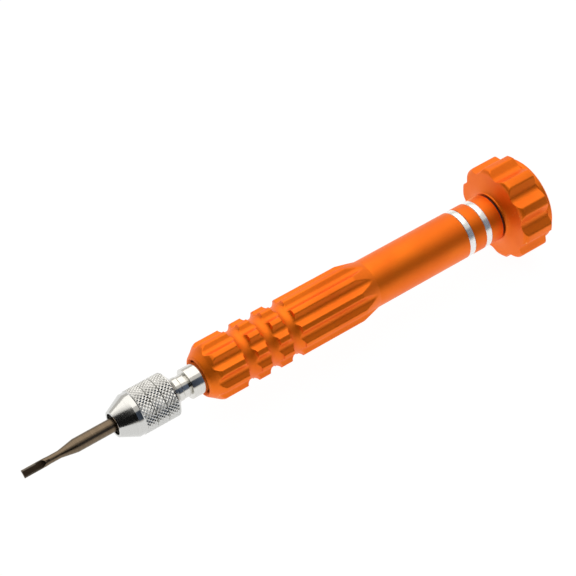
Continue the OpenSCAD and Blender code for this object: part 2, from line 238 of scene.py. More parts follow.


# %% [markdown]
# ## Shader groups
#
# Three effects turn up on more than one metal, so each is a node group that is built once and placed in
# every material that needs it, with that material's own numbers. They only put out masks and heights.
# The shader itself stays in the material.
#
# * **turning marks**: fine rings left by the lathe. They are noise that is stretched hard round the
#   axis: it changes quickly along X and hardly at all round the part.
# * **blasted skin**: the tiny even grain of bead-blasted, anodised aluminium.
# * **edge and dirt**: brighter edges from Geometry's Pointiness, a painted highlight on the orange parts
#   and worn edges on the bits, and faint handling smudges.

# %% Helpers for node trees
def add_node(tree, kind, inputs=None, **settings):
    """A node with its settings and input values or links."""
    node = tree.nodes.new(kind)
    for key, value in settings.items():
        setattr(node, key, value)
    for key, value in (inputs or {}).items():
        if isinstance(value, bpy.types.NodeSocket):
            tree.links.new(value, node.inputs[key])
        else:
            node.inputs[key].default_value = value
    return node


def new_group(name, inputs, outputs):
    """An empty shader node group with named inputs and outputs."""
    group = bpy.data.node_groups.new(name, "ShaderNodeTree")
    for label, kind, default in inputs:
        socket = group.interface.new_socket(name=label, in_out="INPUT", socket_type=kind)
        socket.default_value = default
    for label, kind in outputs:
        group.interface.new_socket(name=label, in_out="OUTPUT", socket_type=kind)
    return group, group.nodes.new("NodeGroupInput").outputs, group.nodes.new("NodeGroupOutput").inputs


def math_node(tree, operation, first, second=0.0):
    """A Math node's output socket."""
    return add_node(tree, "ShaderNodeMath", {0: first, 1: second}, operation=operation).outputs[0]


def scaled_position(tree, along, across):
    """Object position multiplied by one number along the tool and another across it."""
    position = add_node(tree, "ShaderNodeTexCoord").outputs["Object"]
    split = add_node(tree, "ShaderNodeSeparateXYZ", {0: position})
    return add_node(tree, "ShaderNodeCombineXYZ", {
        "X": math_node(tree, "MULTIPLY", split.outputs["X"], along),
        "Y": math_node(tree, "MULTIPLY", split.outputs["Y"], across),
        "Z": math_node(tree, "MULTIPLY", split.outputs["Z"], across),
    }).outputs[0]


# %% Turning marks
turning, given, out = new_group(
    "turning_marks",
    [("Rings per metre", "NodeSocketFloat", 6000.0), ("Round the part", "NodeSocketFloat", 60.0),
     ("Detail", "NodeSocketFloat", 3.0)],
    [("Height", "NodeSocketFloat"), ("Streaks", "NodeSocketFloat")])
rings = add_node(turning, "ShaderNodeTexNoise", {
    "Vector": scaled_position(turning, given["Rings per metre"], given["Round the part"]),
    "Scale": 1.0, "Detail": given["Detail"], "Roughness": 0.6})
streaks = add_node(turning, "ShaderNodeMapRange", {
    "Value": rings.outputs[0], "From Min": 0.35, "From Max": 0.65})
turning.links.new(rings.outputs[0], out["Height"])
turning.links.new(streaks.outputs[0], out["Streaks"])

# %% Blasted skin
blasted, given, out = new_group(
    "blasted_skin",
    [("Grain per metre", "NodeSocketFloat", 9000.0), ("Cloud per metre", "NodeSocketFloat", 120.0)],
    [("Height", "NodeSocketFloat"), ("Cloud", "NodeSocketFloat")])
place = add_node(blasted, "ShaderNodeTexCoord").outputs["Object"]
grain = add_node(blasted, "ShaderNodeTexNoise", {
    "Vector": place, "Scale": given["Grain per metre"], "Detail": 2.0, "Roughness": 0.7})
cloud = add_node(blasted, "ShaderNodeTexNoise", {
    "Vector": place, "Scale": given["Cloud per metre"], "Detail": 4.0, "Roughness": 0.55})
spread = add_node(blasted, "ShaderNodeMapRange", {
    "Value": cloud.outputs[0], "From Min": 0.35, "From Max": 0.65})
blasted.links.new(grain.outputs[0], out["Height"])
blasted.links.new(spread.outputs[0], out["Cloud"])

# %% Painted rim highlight, edge wear and smudges
rim_highlight_and_wear, given, out = new_group(
    "edge_and_dirt",
    [("Edge start", "NodeSocketFloat", 0.52), ("Edge end", "NodeSocketFloat", 0.60),
     ("Smudge per metre", "NodeSocketFloat", 260.0)],
    [("Edge", "NodeSocketFloat"), ("Smudge", "NodeSocketFloat")])
# The Edge mask finds sharp rims: the metals use it to paint a highlight on the orange rims and lighter worn
# edges on the bits.
sharpness = add_node(rim_highlight_and_wear, "ShaderNodeNewGeometry").outputs["Pointiness"]
edge = add_node(rim_highlight_and_wear, "ShaderNodeMapRange", {
    "Value": sharpness, "From Min": given["Edge start"], "From Max": given["Edge end"]})
place = add_node(rim_highlight_and_wear, "ShaderNodeTexCoord").outputs["Object"]
smudge = add_node(rim_highlight_and_wear, "ShaderNodeTexNoise", {
    "Vector": place, "Scale": given["Smudge per metre"], "Detail": 5.0, "Roughness": 0.65})
patches = add_node(rim_highlight_and_wear, "ShaderNodeMapRange", {
    "Value": smudge.outputs[0], "From Min": 0.45, "From Max": 0.7})
rim_highlight_and_wear.links.new(edge.outputs[0], out["Edge"])
rim_highlight_and_wear.links.new(patches.outputs[0], out["Smudge"])
print("groups:", [g.name for g in bpy.data.node_groups])

# %% [markdown]
# ## Metals
#
# Every metal here starts from the same recipe. A base colour is drawn a little towards a second colour
# by a mask, the roughness moves with the same mask, and a fine height feeds a Bump node. What differs is
# which group makes the mask, and how strong each step is. `metal` wires the recipe once.

# %% The recipe for a metal
MARK_DEPTH = 0.02 * MM
MASK_SHARE = 0.6


def group_node(tree, group, **values):
    """One group placed in a material, with its own input values."""
    node = add_node(tree, "ShaderNodeGroup", node_tree=group)
    for label, value in values.items():
        node.inputs[label.replace("_", " ")].default_value = value
    return node


def metal(name, base, tint, roughness, mask, height, bump, edge_colour=None, edge=(0.52, 0.60),
          metallic=1.0, coat=0.0, coat_roughness=0.2):
    """A metal. mask and height each name a group, its output and its input values."""
    material = bpy.data.materials.new(name)
    material.use_nodes = True
    tree = material.node_tree
    shader = tree.nodes["Principled BSDF"]
    placed = {}

    def read(source):
        group, output, values = source
        key = (group.name, tuple(sorted(values.items())))
        if key not in placed:
            placed[key] = group_node(tree, group, **values)
        return placed[key].outputs[output]

    colour = add_node(tree, "ShaderNodeMix", data_type="RGBA")
    colour.inputs[6].default_value = (*base, 1)
    colour.inputs[7].default_value = (*tint, 1)
    tree.links.new(read(mask), colour.inputs[0])
    colour_out = colour.outputs[2]
    marks = group_node(tree, rim_highlight_and_wear, Edge_start=edge[0], Edge_end=edge[1])
    # On sharp rims the colour is drawn towards edge_colour: a painted highlight on the orange parts,
    # lighter worn edges on the bits.
    if edge_colour:
        rim_highlight_and_wear_mix = add_node(tree, "ShaderNodeMix", data_type="RGBA")
        rim_highlight_and_wear_mix.inputs[7].default_value = (*edge_colour, 1)
        tree.links.new(colour_out, rim_highlight_and_wear_mix.inputs[6])
        tree.links.new(marks.outputs["Edge"], rim_highlight_and_wear_mix.inputs[0])
        colour_out = rim_highlight_and_wear_mix.outputs[2]
    tree.links.new(colour_out, shader.inputs["Base Color"])
    low, high = roughness
    rough = add_node(tree, "ShaderNodeMapRange", {
        "Value": math_node(tree, "ADD", math_node(tree, "MULTIPLY", read(mask), MASK_SHARE),
                           math_node(tree, "MULTIPLY", marks.outputs["Smudge"], 1 - MASK_SHARE)),
        "To Min": low, "To Max": high})
    tree.links.new(rough.outputs[0], shader.inputs["Roughness"])
    relief = add_node(tree, "ShaderNodeBump", {
        "Height": read(height), "Strength": bump, "Distance": MARK_DEPTH})
    tree.links.new(relief.outputs[0], shader.inputs["Normal"])
    shader.inputs["Metallic"].default_value = metallic
    shader.inputs["Coat Weight"].default_value = coat
    shader.inputs["Coat Roughness"].default_value = coat_roughness
    return material


# %% [markdown]
# ### Orange anodised aluminium
#
# Anodising grows a clear glassy oxide on blasted aluminium and fills its pores with dye. Light goes
# through the dyed oxide, bounces off the metal and comes back orange, while the oxide's own surface
# reflects white at low angles. So the shader is a coloured metal under a thin satin coat, and the edge mask
# paints the rims a lighter peach, a painted highlight along the edges.

# %% Anodised aluminium
# edge_colour here is a painted highlight: a light peach laid on the sharp rims.
anodised = metal(
    "orange_anodised", base=(0.96, 0.200, 0.006), tint=(0.92, 0.178, 0.005), roughness=(0.50, 0.58),
    mask=(blasted, "Cloud", {}), height=(blasted, "Height", {}), bump=0.12,
    edge=(0.56, 0.68), edge_colour=(1.0, 0.36, 0.07), metallic=0.95, coat=0.15, coat_roughness=0.35)

# %% [markdown]
# ### Bare metals
#
# The chuck nut is turned and polished, the rings are cut bright with a diamond, the spindle is finely
# turned steel, and the bits are tool steel whose tempering has left a bronze-brown oxide.

# %% Bare metals
turned_marks = {"Rings_per_metre": 9000.0, "Round_the_part": 40.0}
coarse_marks = {"Rings_per_metre": 7000.0, "Round_the_part": 150.0}
ground_marks = {"Rings_per_metre": 1500.0, "Round_the_part": 9000.0}
polished = metal(
    "polished_aluminium", base=(0.64, 0.64, 0.62), tint=(0.57, 0.57, 0.555), roughness=(0.12, 0.20),
    mask=(turning, "Streaks", turned_marks), height=(turning, "Height", turned_marks), bump=0.05)
bright = metal(
    "bright_ring", base=(0.95, 0.94, 0.92), tint=(0.90, 0.90, 0.88), roughness=(0.18, 0.28),
    mask=(turning, "Streaks", turned_marks), height=(turning, "Height", turned_marks), bump=0.08,
    metallic=0.75)
spindle_steel = metal(
    "turned_steel", base=(0.72, 0.71, 0.67), tint=(0.63, 0.62, 0.59), roughness=(0.12, 0.2),
    mask=(turning, "Streaks", turned_marks), height=(turning, "Height", turned_marks), bump=0.06)
bit_steel = metal(
    "bit_steel", base=(0.19, 0.142, 0.095), tint=(0.145, 0.108, 0.072), roughness=(0.27, 0.36),
    mask=(turning, "Streaks", coarse_marks), height=(turning, "Height", coarse_marks), bump=0.06,
    edge_colour=(0.5, 0.43, 0.34))
ground_steel = metal(
    "ground_blade", base=(0.045, 0.03, 0.02), tint=(0.07, 0.05, 0.033), roughness=(0.3, 0.42),
    mask=(turning, "Streaks", ground_marks), height=(turning, "Height", ground_marks), bump=0.2,
    edge_colour=(0.45, 0.38, 0.3))
print("metals:", [m.name for m in bpy.data.materials])

# %% [markdown]
# ## Flutes
#
# The grip is a bar with ten straight grooves milled along it. The cutter has a V shape with a rounded
# nose, so in cross-section each groove is two straight walls joined by a small arc. `flute_wall` gives
# the distance from the tool's axis to that groove in any direction. The part's radius is then whichever
# is smaller, the turned outline or the groove, and `soft_min` blends the two over a hair's width, which
# breaks the edge just as deburring does.

# %% Flute geometry
FLUTES = 10
PITCH = 2 * math.pi / FLUTES
HALF_LAND = math.radians(5)


def soft_min(a, b, blend):
    """The smaller of two numbers, with a rounded change-over."""
    h = max(blend - abs(a - b), 0) / blend
    return min(a, b) - h * h * blend / 4


def flute_cutter(outer, depth, nose, turned, blend):
    """A relief function that mills the flutes into anything larger than their floor."""
    floor = outer - depth
    half_width = outer * math.sin(PITCH / 2 - HALF_LAND)
    rim = outer * math.cos(PITCH / 2 - HALF_LAND)
    slope = math.atan(half_width / (rim - floor + 0.15 * nose))
    apex = floor + nose - nose / math.sin(slope)
    run = nose / math.tan(slope)
    join = math.atan2(run * math.sin(slope), apex + run * math.cos(slope))

    def wall(angle):
        off = (angle - turned) % PITCH - PITCH / 2
        if abs(off) <= join:
            centre = floor + nose
            return centre * math.cos(off) - math.sqrt(max(nose ** 2 - (centre * math.sin(off)) ** 2, 0))
        facing = math.cos(off) - abs(math.sin(off)) / math.tan(slope)
        return apex / facing if facing > 0.05 else 2 * outer

    return lambda angle, station, radius: soft_min(radius, wall(angle), blend)


# %% [markdown]
# ## Handle
#
# The handle is one turned piece: a rounded nose, a fluted grip with three grooves round it, a taper and
# a smooth barrel that hides the spare bits. The outline goes round the whole section, bore included,
# because the storage end is open when the plug is unscrewed.

# %% Handle outline
FLUTE_DEPTH = 0.8 * MM
FLUTE_NOSE = 1.3 * MM
GRIP_TURN = math.radians(13.5)
GROOVE_DEPTH = 1.0 * MM
GROOVE_WIDTH = 2.9 * MM
GROOVE_STEPS = 24
FRONT_SECTION = 8.25 * MM
SHORT_SECTION = 2.4 * MM
LONG_SECTION = 15.0 * MM
TAPER = 4.15 * MM
RECESS_R = COLLAR_R + 0.34 * MM
RECESS_DEPTH = 2.5 * MM
SPIGOT_R = 2.9 * MM
STORE_R = 3.5 * MM
PLUG_BORE_R = 4.0 * MM
VENT_R = 1.2 * MM
EDGE = 0.12 * MM
GRIP_STEP = 0.16 * MM
TAPER_STEP = 0.2 * MM
GRIP_BLEND = 0.1 * MM
SIDES_PER_FLUTE = 36


def groove(start):
    """Outline points of one round-bottomed groove, half an ellipse with broken edges."""
    turns = [math.pi * k / GROOVE_STEPS for k in range(1, GROOVE_STEPS)]
    return [(start, GRIP_R, EDGE),
            *[(start + GROOVE_WIDTH / 2 * (1 - math.cos(t)), GRIP_R - GROOVE_DEPTH * math.sin(t), 0)
              for t in turns],
            (start + GROOVE_WIDTH, GRIP_R, EDGE)]


groove_1 = HANDLE_START + FRONT_SECTION
groove_2 = groove_1 + GROOVE_WIDTH + SHORT_SECTION
groove_3 = groove_2 + GROOVE_WIDTH + SHORT_SECTION
taper_start = groove_3 + GROOVE_WIDTH + LONG_SECTION
taper_end = taper_start + TAPER
store_end = SPINDLE_END + 2.5 * MM
plug_seat = PLUG_START - 0.3 * MM
handle_outline = [
    (HANDLE_START + 0.8 * MM, RECESS_R, 0.2 * MM),
    (HANDLE_START + 0.15 * MM, RECESS_R + 0.4 * MM, 0.06 * MM),
    (HANDLE_START + 0.4 * MM, GRIP_R - 1.85 * MM, 0.5 * MM),
    (HANDLE_START + 1.6 * MM, GRIP_R - 0.98 * MM, 0.8 * MM),
    (HANDLE_START + 2.4 * MM, GRIP_R - 0.3 * MM, 0.8 * MM),
    (HANDLE_START + 3 * MM, GRIP_R, 0.6 * MM),
    *groove(groove_1), *groove(groove_2), *groove(groove_3),
    (taper_start, GRIP_R, 0.8 * MM), (taper_end, BARREL_R + 0.03 * MM, EDGE / 3),
    (taper_end + 0.15 * MM, BARREL_R, EDGE / 3),
    (HANDLE_END, BARREL_R, EDGE), (HANDLE_END, PLUG_BORE_R, 0.25 * MM),
    (plug_seat, PLUG_BORE_R), (plug_seat, STORE_R), (store_end, STORE_R),
    (store_end, VENT_R), (SPINDLE_END, VENT_R), (SPINDLE_END, SPIGOT_R),
    (HANDLE_START + RECESS_DEPTH, SPIGOT_R), (HANDLE_START + RECESS_DEPTH, RECESS_R)]

# %% Handle mesh
outline = round_corners(handle_outline, EDGE)
outline = refine(outline, GRIP_STEP, HANDLE_START, groove_3 + GROOVE_WIDTH)
outline = refine(outline, TAPER_STEP, taper_start - 0.5 * MM, taper_end + 0.3 * MM)
grip_flutes = flute_cutter(GRIP_R, FLUTE_DEPTH, FLUTE_NOSE, GRIP_TURN, GRIP_BLEND)
handle = turn_mesh("grip_handle", outline, even_angles(SIDES_PER_FLUTE * FLUTES), grip_flutes)
fit(handle, "handle", ["handle"], anodised)

# %% [markdown]
# ## Chuck nut
#
# A coned nose, a plain band and a diamond knurl, all on one turned piece. A diamond knurl is two
# families of V grooves at 45 degrees, one left-handed and one right-handed, and what is left between
# them are small square pyramids. On a grid whose spacing is a whole fraction of the knurl's pitch the
# pyramids come out crisp.

# %% Chuck nut
KNURL_START = NUT_START + 4.75 * MM
KNURL_END = NUT_END - 1.1 * MM
KNURL_COUNT = 36
KNURL_PITCH = 2 * math.pi * NUT_R / KNURL_COUNT
KNURL_DEPTH = 0.2 * MM
KNURL_FADE = 0.3 * MM
KNURL_GROOVE = 2.3
BAND_R = NUT_R - 0.14 * MM
SEAM_HALF = 0.1 * MM
SEAM_DEPTH = 0.24 * MM
NUT_LIP_R = 2.74 * MM
NOSE_R = 2.28 * MM
NUT_BORE_R = 2.55 * MM
CAVE_R = 3.2 * MM
CONE_MOUTH = NUT_START + 0.75 * MM
CONE_END = CONE_MOUTH + 2.5 * MM
CAVE_END = NUT_START + 5.65 * MM


def knurl(angle, station, radius):
    """Diamond knurling over the knurled length, on the outside only."""
    if not KNURL_START < station < KNURL_END or radius < 0.9 * NUT_R:
        return radius
    round_it = angle * KNURL_COUNT / (2 * math.pi)
    along = (station - KNURL_START) / KNURL_PITCH
    fade = min(1, (station - KNURL_START) / KNURL_FADE, (KNURL_END - station) / KNURL_FADE)
    cut = max(1 - KNURL_GROOVE * abs(s - round(s)) for s in (round_it + along, round_it - along))
    return radius - KNURL_DEPTH * max(cut, 0) * fade


seam = (KNURL_END - KNURL_START) / 3
nut_outline = [
    (NUT_START, NOSE_R, 0.04 * MM), (NUT_START, NUT_LIP_R, 0.08 * MM),
    (NUT_START + 3.6 * MM, BAND_R, 0.12 * MM),
    (KNURL_START - 0.1 * MM, BAND_R, 0.03 * MM), (KNURL_START, NUT_R, 0),
    *[(KNURL_START + i * seam + side * SEAM_HALF, NUT_R - (0 if side else SEAM_DEPTH), 0)
      for i in (1, 2) for side in (-1, 0, 1)],
    (KNURL_END, NUT_R, 0.1 * MM), (NUT_END - 0.1 * MM, 3.1 * MM, 0.08 * MM), (NUT_END, 3 * MM, 0.05 * MM),
    (NUT_END, NUT_BORE_R, 0.05 * MM), (CAVE_END, NUT_BORE_R, 0), (CAVE_END, CAVE_R, 0),
    (CONE_END, CAVE_R, 0), (CONE_MOUTH, NOSE_R, 0)]
outline = refine(round_corners(nut_outline, 0.05 * MM), KNURL_PITCH / 8, KNURL_START, KNURL_END)
nut = turn_mesh("knurled_nut", outline, even_angles(8 * KNURL_COUNT), knurl, sharp=25)
fit(nut, "nut", ["chuck_nut"], polished)

# %% [markdown]
# ## Spindle
#
# The spindle is pressed into the handle and carries the nut on its thread. The thread is real: its
# radius follows a helix, one pitch per turn. The exact model uses a plain cylinder at the thread's
# outside diameter, so the helix only ever cuts inwards from it. It stops just behind the nut. The neck
# runs plain from there to a narrow undercut in front of the collar.

# %% Threads
def thread_cutter(start, end, crest, depth, pitch):
    """A relief function that cuts a right-handed V thread with a short fade at both ends."""
    def cut(angle, station, radius):
        if not start < station < end or radius < crest - depth:
            return radius
        phase = (station / pitch + angle / (2 * math.pi)) % 1
        valley = max(0, 1 - abs(phase - 0.5) * 2.2)
        fade = min(1, (station - start) / pitch, (end - station) / pitch)
        return radius - depth * valley * fade
    return cut


# %% Spindle
COLLAR_START = HANDLE_START - 2.7 * MM
THREAD_END = NUT_END + 1.2 * MM
THREAD_R = 2.5 * MM
NECK_R = 2.37 * MM
SOCKET_R = BIT_R + 0.05 * MM
SPINDLE_PITCH = 0.5 * MM
UNDERCUT = 0.38 * MM
SPINDLE_THREAD_DEPTH = 0.16 * MM
MAGNET_END = span("bit_magnet")[1]
spindle_outline = [
    (SPINDLE_START, NOSE_R - 0.03 * MM, 0), (SPINDLE_START, THREAD_R - 0.15 * MM, 0),
    (SPINDLE_START + 0.15 * MM, THREAD_R, 0), (THREAD_END, THREAD_R, 0.03 * MM),
    (THREAD_END + 0.14 * MM, NECK_R, 0.05 * MM), (COLLAR_START - UNDERCUT, NECK_R, 0.02 * MM),
    (COLLAR_START - UNDERCUT, NECK_R - UNDERCUT, 0.02 * MM), (COLLAR_START, NECK_R - UNDERCUT, 0.02 * MM),
    (COLLAR_START, COLLAR_R, 0.14 * MM), (HANDLE_START + RECESS_DEPTH, COLLAR_R, 0.05 * MM),
    (HANDLE_START + RECESS_DEPTH, SPIGOT_R, 0), (SPINDLE_END - 0.3 * MM, SPIGOT_R, 0),
    (SPINDLE_END, SPIGOT_R - 0.3 * MM, 0), (SPINDLE_END, 0, 0),
    (MAGNET_END, 0, 0), (MAGNET_END, SOCKET_R, 0), (SPINDLE_START + 1.3 * MM, SOCKET_R, 0)]
outline = refine(round_corners(spindle_outline, 0.05 * MM), SPINDLE_PITCH / 6, SPINDLE_START, THREAD_END)
spindle_thread = thread_cutter(
    SPINDLE_START + 0.15 * MM, NUT_END + 0.4 * MM, THREAD_R, SPINDLE_THREAD_DEPTH, SPINDLE_PITCH)
spindle = turn_mesh("threaded_spindle", outline, even_angles(72), spindle_thread)
fit(spindle, "handle", ["chuck_spindle"], spindle_steel)

# %% [markdown]
# ## Flat-blade bit
#
# A round bar with a coned neck, ground flat on both sides to make the blade. The grinding wheel leaves
# two parallel faces that sweep up in an arc to the full round. In cross-section that is a circle cut by
# two straight lines, so each ring of vertices is laid out in four parts, two along the flats and two
# along the round sides, and the edge between them always falls exactly on a vertex.

# %% Flat-blade bit
BLADE_R = 0.84 * MM
BLADE_HALF = 0.22 * MM
BLADE_LENGTH = 2.9 * MM
BLADE_TURN = math.radians(34)
GRIND_SWEEP = 2.9 * MM
CONE_START = 7.9 * MM
CONE_RUN = 3.45 * MM
SIDE_POINTS = 12
BLADE_STEP = 0.12 * MM
ROUND_LIMIT = 0.3
GROUND_REACH = 0.82 * MM


def blade_half_thickness(station):
    """Half the thickness between the two ground faces at a station."""
    past = station - BLADE_LENGTH
    if past <= 0:
        return BLADE_HALF
    if past >= GRIND_SWEEP:
        return BIT_R
    return BLADE_HALF + GRIND_SWEEP - math.sqrt(GRIND_SWEEP ** 2 - past ** 2)


def blade_ring(station, radius):
    """(y, z) points of one cross-section: round sides and two flats."""
    half = min(blade_half_thickness(station), radius)
    edge_angle = math.acos(half / radius) if half < radius * 0.9999 else 0.35
    points = []
    for face in (0, math.pi):
        for k in range(SIDE_POINTS):
            off = -edge_angle + 2 * edge_angle * k / SIDE_POINTS
            reach = min(radius, half / max(math.cos(off), 1e-6))
            points.append((reach, face + off))
        for k in range(SIDE_POINTS):
            off = edge_angle + (math.pi - 2 * edge_angle) * k / SIDE_POINTS
            points.append((radius, face + off))
    return [(-r * math.sin(a + BLADE_TURN), r * math.cos(a + BLADE_TURN)) for r, a in points]


bit_outline = round_corners([
    (0, 0), (0, BLADE_R, 0.03 * MM), (BLADE_LENGTH + 1.8 * MM, BLADE_R, 0.5 * MM),
    (BLADE_LENGTH + 2.7 * MM, BLADE_R - 0.06 * MM, 0.5 * MM), (CONE_START, BLADE_R - 0.06 * MM, 1.5 * MM),
    (CONE_START + CONE_RUN, BIT_R, 1.5 * MM), (BIT_END - 0.3 * MM, BIT_R, 0.1 * MM),
    (BIT_END, BIT_R - 0.3 * MM, 0.1 * MM), (BIT_END, 0)], 0, closed=False)
outline = refine(bit_outline, BLADE_STEP, 0.001 * MM, BLADE_LENGTH + GRIND_SWEEP, closed=False)
mesh = bmesh.new()
rings = [[mesh.verts.new((p.x, y, z)) for y, z in blade_ring(p.x, max(p.y, 1e-9))] for p in outline]
bridge(mesh, rings, closed=False)
bit = finish_mesh("flat_blade_bit", mesh, sharp=30)
fit(bit, "bit", ["slotted_bit"], bit_steel)
bit.data.materials.append(ground_steel)
flat_normal = Vector((0, -math.sin(BLADE_TURN), math.cos(BLADE_TURN)))
flat_width = Vector((0, math.cos(BLADE_TURN), math.sin(BLADE_TURN)))
for face in bit.data.polygons:
    ahead = face.center.x < BLADE_LENGTH + GRIND_SWEEP and abs(face.normal.dot(flat_width)) < ROUND_LIMIT
    offset = abs(face.center.dot(flat_normal))
    if ahead and offset < min(blade_half_thickness(face.center.x) + 0.01 * MM, GROUND_REACH):
        face.material_index = 1

# %% [markdown]
# ## Rings, sleeve and storage plug
#
# Behind the barrel come a bright ring, an orange sleeve, a second bright ring and the plug's orange
# collar. The first ring is loose and is clamped when the plug is screwed in. The plug's own thread only
# shows when it is unscrewed, and so does the cushion on its end, but both are there to be found.

# %% Rings and sleeve
def ring_outline(node, inner, bevel):
    """A ring's section with bevelled outer edges."""
    start, end, outer = span(node)
    return round_corners([
        (start, inner, 0), (start, outer - bevel, 0.02 * MM), (start + bevel, outer, 0.02 * MM),
        (end - bevel, outer, 0.02 * MM), (end, outer - bevel, 0.02 * MM), (end, inner, 0)], 0)


STUB_R = 4.2 * MM
RING_SIDES = 144
for name, node, body, inner in (
        ("bright_ring_front", "trim_ring_front", "plug_ring", STUB_R + 0.05 * MM),
        ("bright_ring_rear", "trim_ring_rear", "plug", STUB_R)):
    ring = turn_mesh(name, ring_outline(node, inner, 0.1 * MM), even_angles(RING_SIDES))
    fit(ring, body, [node], bright)
sleeve_outline = ring_outline("spacer_sleeve", STUB_R, 0.07 * MM)
sleeve = turn_mesh("orange_sleeve", sleeve_outline, even_angles(RING_SIDES))
fit(sleeve, "plug", ["spacer_sleeve"], anodised)

# %% Storage plug
PLUG_R = 3.95 * MM
SEAL_SEAT = HANDLE_END - 1.85 * MM
SEAL_WIDTH = 1.15 * MM
SEAL_FLOOR = 3.24 * MM
PLUG_PITCH = 0.75 * MM
PLUG_THREAD_DEPTH = 0.34 * MM
COLLAR_X = span("trim_ring_rear")[1]
GAP_X = span("dust_seal")[0]
BEARING_X, BEARING_END, _ = span("bearing_inner")
BOSS_R = 2.7 * MM
STUD_R = 2.0 * MM
SCREW_R = 1.0 * MM
plug_outline = [
    (PLUG_START, 0, 0), (PLUG_START, PLUG_R, 0.15 * MM), (SEAL_SEAT, PLUG_R), (SEAL_SEAT, SEAL_FLOOR),
    (SEAL_SEAT + SEAL_WIDTH, SEAL_FLOOR), (SEAL_SEAT + SEAL_WIDTH, PLUG_R), (RING_START, PLUG_R),
    (RING_START, STUB_R), (COLLAR_X, STUB_R, 0), (COLLAR_X, BARREL_R, 0.07 * MM),
    (GAP_X, BARREL_R, 0.2 * MM), (GAP_X, BOSS_R), (BEARING_X, BOSS_R), (BEARING_X, STUD_R, 0),
    (BEARING_END - 0.1 * MM, STUD_R), (BEARING_END - 0.1 * MM, SCREW_R, 0),
    (GAP_X + 0.6 * MM, SCREW_R, 0), (GAP_X + 0.6 * MM, 0, 0)]
outline = refine(round_corners(plug_outline, 0.04 * MM, closed=False), PLUG_PITCH / 6,
                 PLUG_START, SEAL_SEAT, closed=False)
plug_thread = thread_cutter(PLUG_START + 0.15 * MM, SEAL_SEAT, PLUG_R, PLUG_THREAD_DEPTH, PLUG_PITCH)
plug = turn_mesh("storage_plug_body", outline, even_angles(108), plug_thread, closed=False)
fit(plug, "plug", ["storage_plug"], anodised)

# %% [markdown]
# ## Swivel cap
#
# The cap's front is a hollow trumpet from the barrel's size out to a round lip. Behind the lip the ridges
# swell out to their full size, and the same kind of flutes as on the grip, only wider and rounder, run
# between them. Both curves are quarters of ellipses: the hollow starts along the axis and ends across it,
# and the ridges carry on from there and turn back along the axis.

# %% Swivel cap
CAP_FLUTE_DEPTH = 1.35 * MM
CAP_FLUTE_NOSE = 1.8 * MM
CAP_TURN = math.radians(13)
SHOULDER_R = BARREL_R + 0.1 * MM
CLIP_END = span("bearing_clip")[1]
POCKET = CLIP_END + 0.38 * MM
POCKET_R = 7.5 * MM
BEARING_R = span("bearing_outer")[2]
WEB_R = 3.0 * MM
HOLLOW = 1.0 * MM
LIP_R = CAP_R - CAP_FLUTE_DEPTH + 0.15 * MM
RIDGE_NOSE = 1.05 * MM
CURVE_STEPS = 12
CAP_STEP = 0.12 * MM
CAP_BLEND = 0.16 * MM


def quarter(steps):
    """Angles over a quarter turn, without the first one."""
    return [math.pi / 2 * k / steps for k in range(1, steps + 1)]


hollow = [
    (CAP_START + HOLLOW * math.sin(t), SHOULDER_R + (LIP_R - SHOULDER_R) * (1 - math.cos(t)), 0)
    for t in quarter(CURVE_STEPS)]
ridge_front = [
    (CAP_START + HOLLOW + RIDGE_NOSE * (1 - math.cos(t)), LIP_R + (CAP_R - LIP_R) * math.sin(t), 0)
    for t in quarter(CURVE_STEPS)]
cap_outline = [
    (CAP_START, WEB_R, 0), (CAP_START, SHOULDER_R, 0.06 * MM), *hollow, *ridge_front,
    (CAP_END, CAP_R, 0.25 * MM), (CAP_END, POCKET_R, 0),
    (POCKET, POCKET_R, 0), (POCKET, BEARING_R, 0), (CLIP_END + 0.03 * MM, BEARING_R, 0),
    (CLIP_END + 0.03 * MM, BEARING_R + 0.4 * MM, 0), (BEARING_END, BEARING_R + 0.4 * MM, 0),
    (BEARING_END, BEARING_R, 0), (BEARING_X, BEARING_R, 0), (BEARING_X, WEB_R, 0)]
outline = refine(round_corners(cap_outline, 0.1 * MM), CAP_STEP, CAP_START,
                 CAP_START + HOLLOW + 2 * RIDGE_NOSE)
cap_flutes = flute_cutter(CAP_R, CAP_FLUTE_DEPTH, CAP_FLUTE_NOSE, CAP_TURN, CAP_BLEND)
cap = turn_mesh("fluted_cap", outline, even_angles(SIDES_PER_FLUTE * FLUTES), cap_flutes)
fit(cap, "cap", ["swivel_cap"], anodised)

# %% Cap cover
DISH = 0.15 * MM
cover_outline = [
    (CAP_END, 0, 0), (CAP_END, POCKET_R - 1.3 * MM, 0), (COVER_START, POCKET_R - 1.3 * MM, 0),
    (COVER_START, POCKET_R, 0), (CAP_END, POCKET_R, 0), (CAP_END, COVER_R, 0.1 * MM),
    (COVER_END - 0.45 * MM, COVER_R, 0.2 * MM), (COVER_END, COVER_R - 0.5 * MM, 0.25 * MM),
    (COVER_END, COVER_R - 1.4 * MM, 0.2 * MM), (COVER_END - DISH, COVER_R - 1.4 * MM - DISH, 0.2 * MM),
    (COVER_END - DISH, 0, 0)]
outline = round_corners(cover_outline, 0.1 * MM, closed=False)
cover = turn_mesh("cap_end_cover", outline, even_angles(180), closed=False)
fit(cover, "cap", ["cap_cover"], anodised)

# %% [markdown]
# ## The parts inside
#
# The exact model's own shapes are right for everything that stays out of sight, so those parts keep
# their meshes and only get a finish: nickel on the magnet, ground steel on the bearing, brass on its
# cage, matt rubber on the seals.

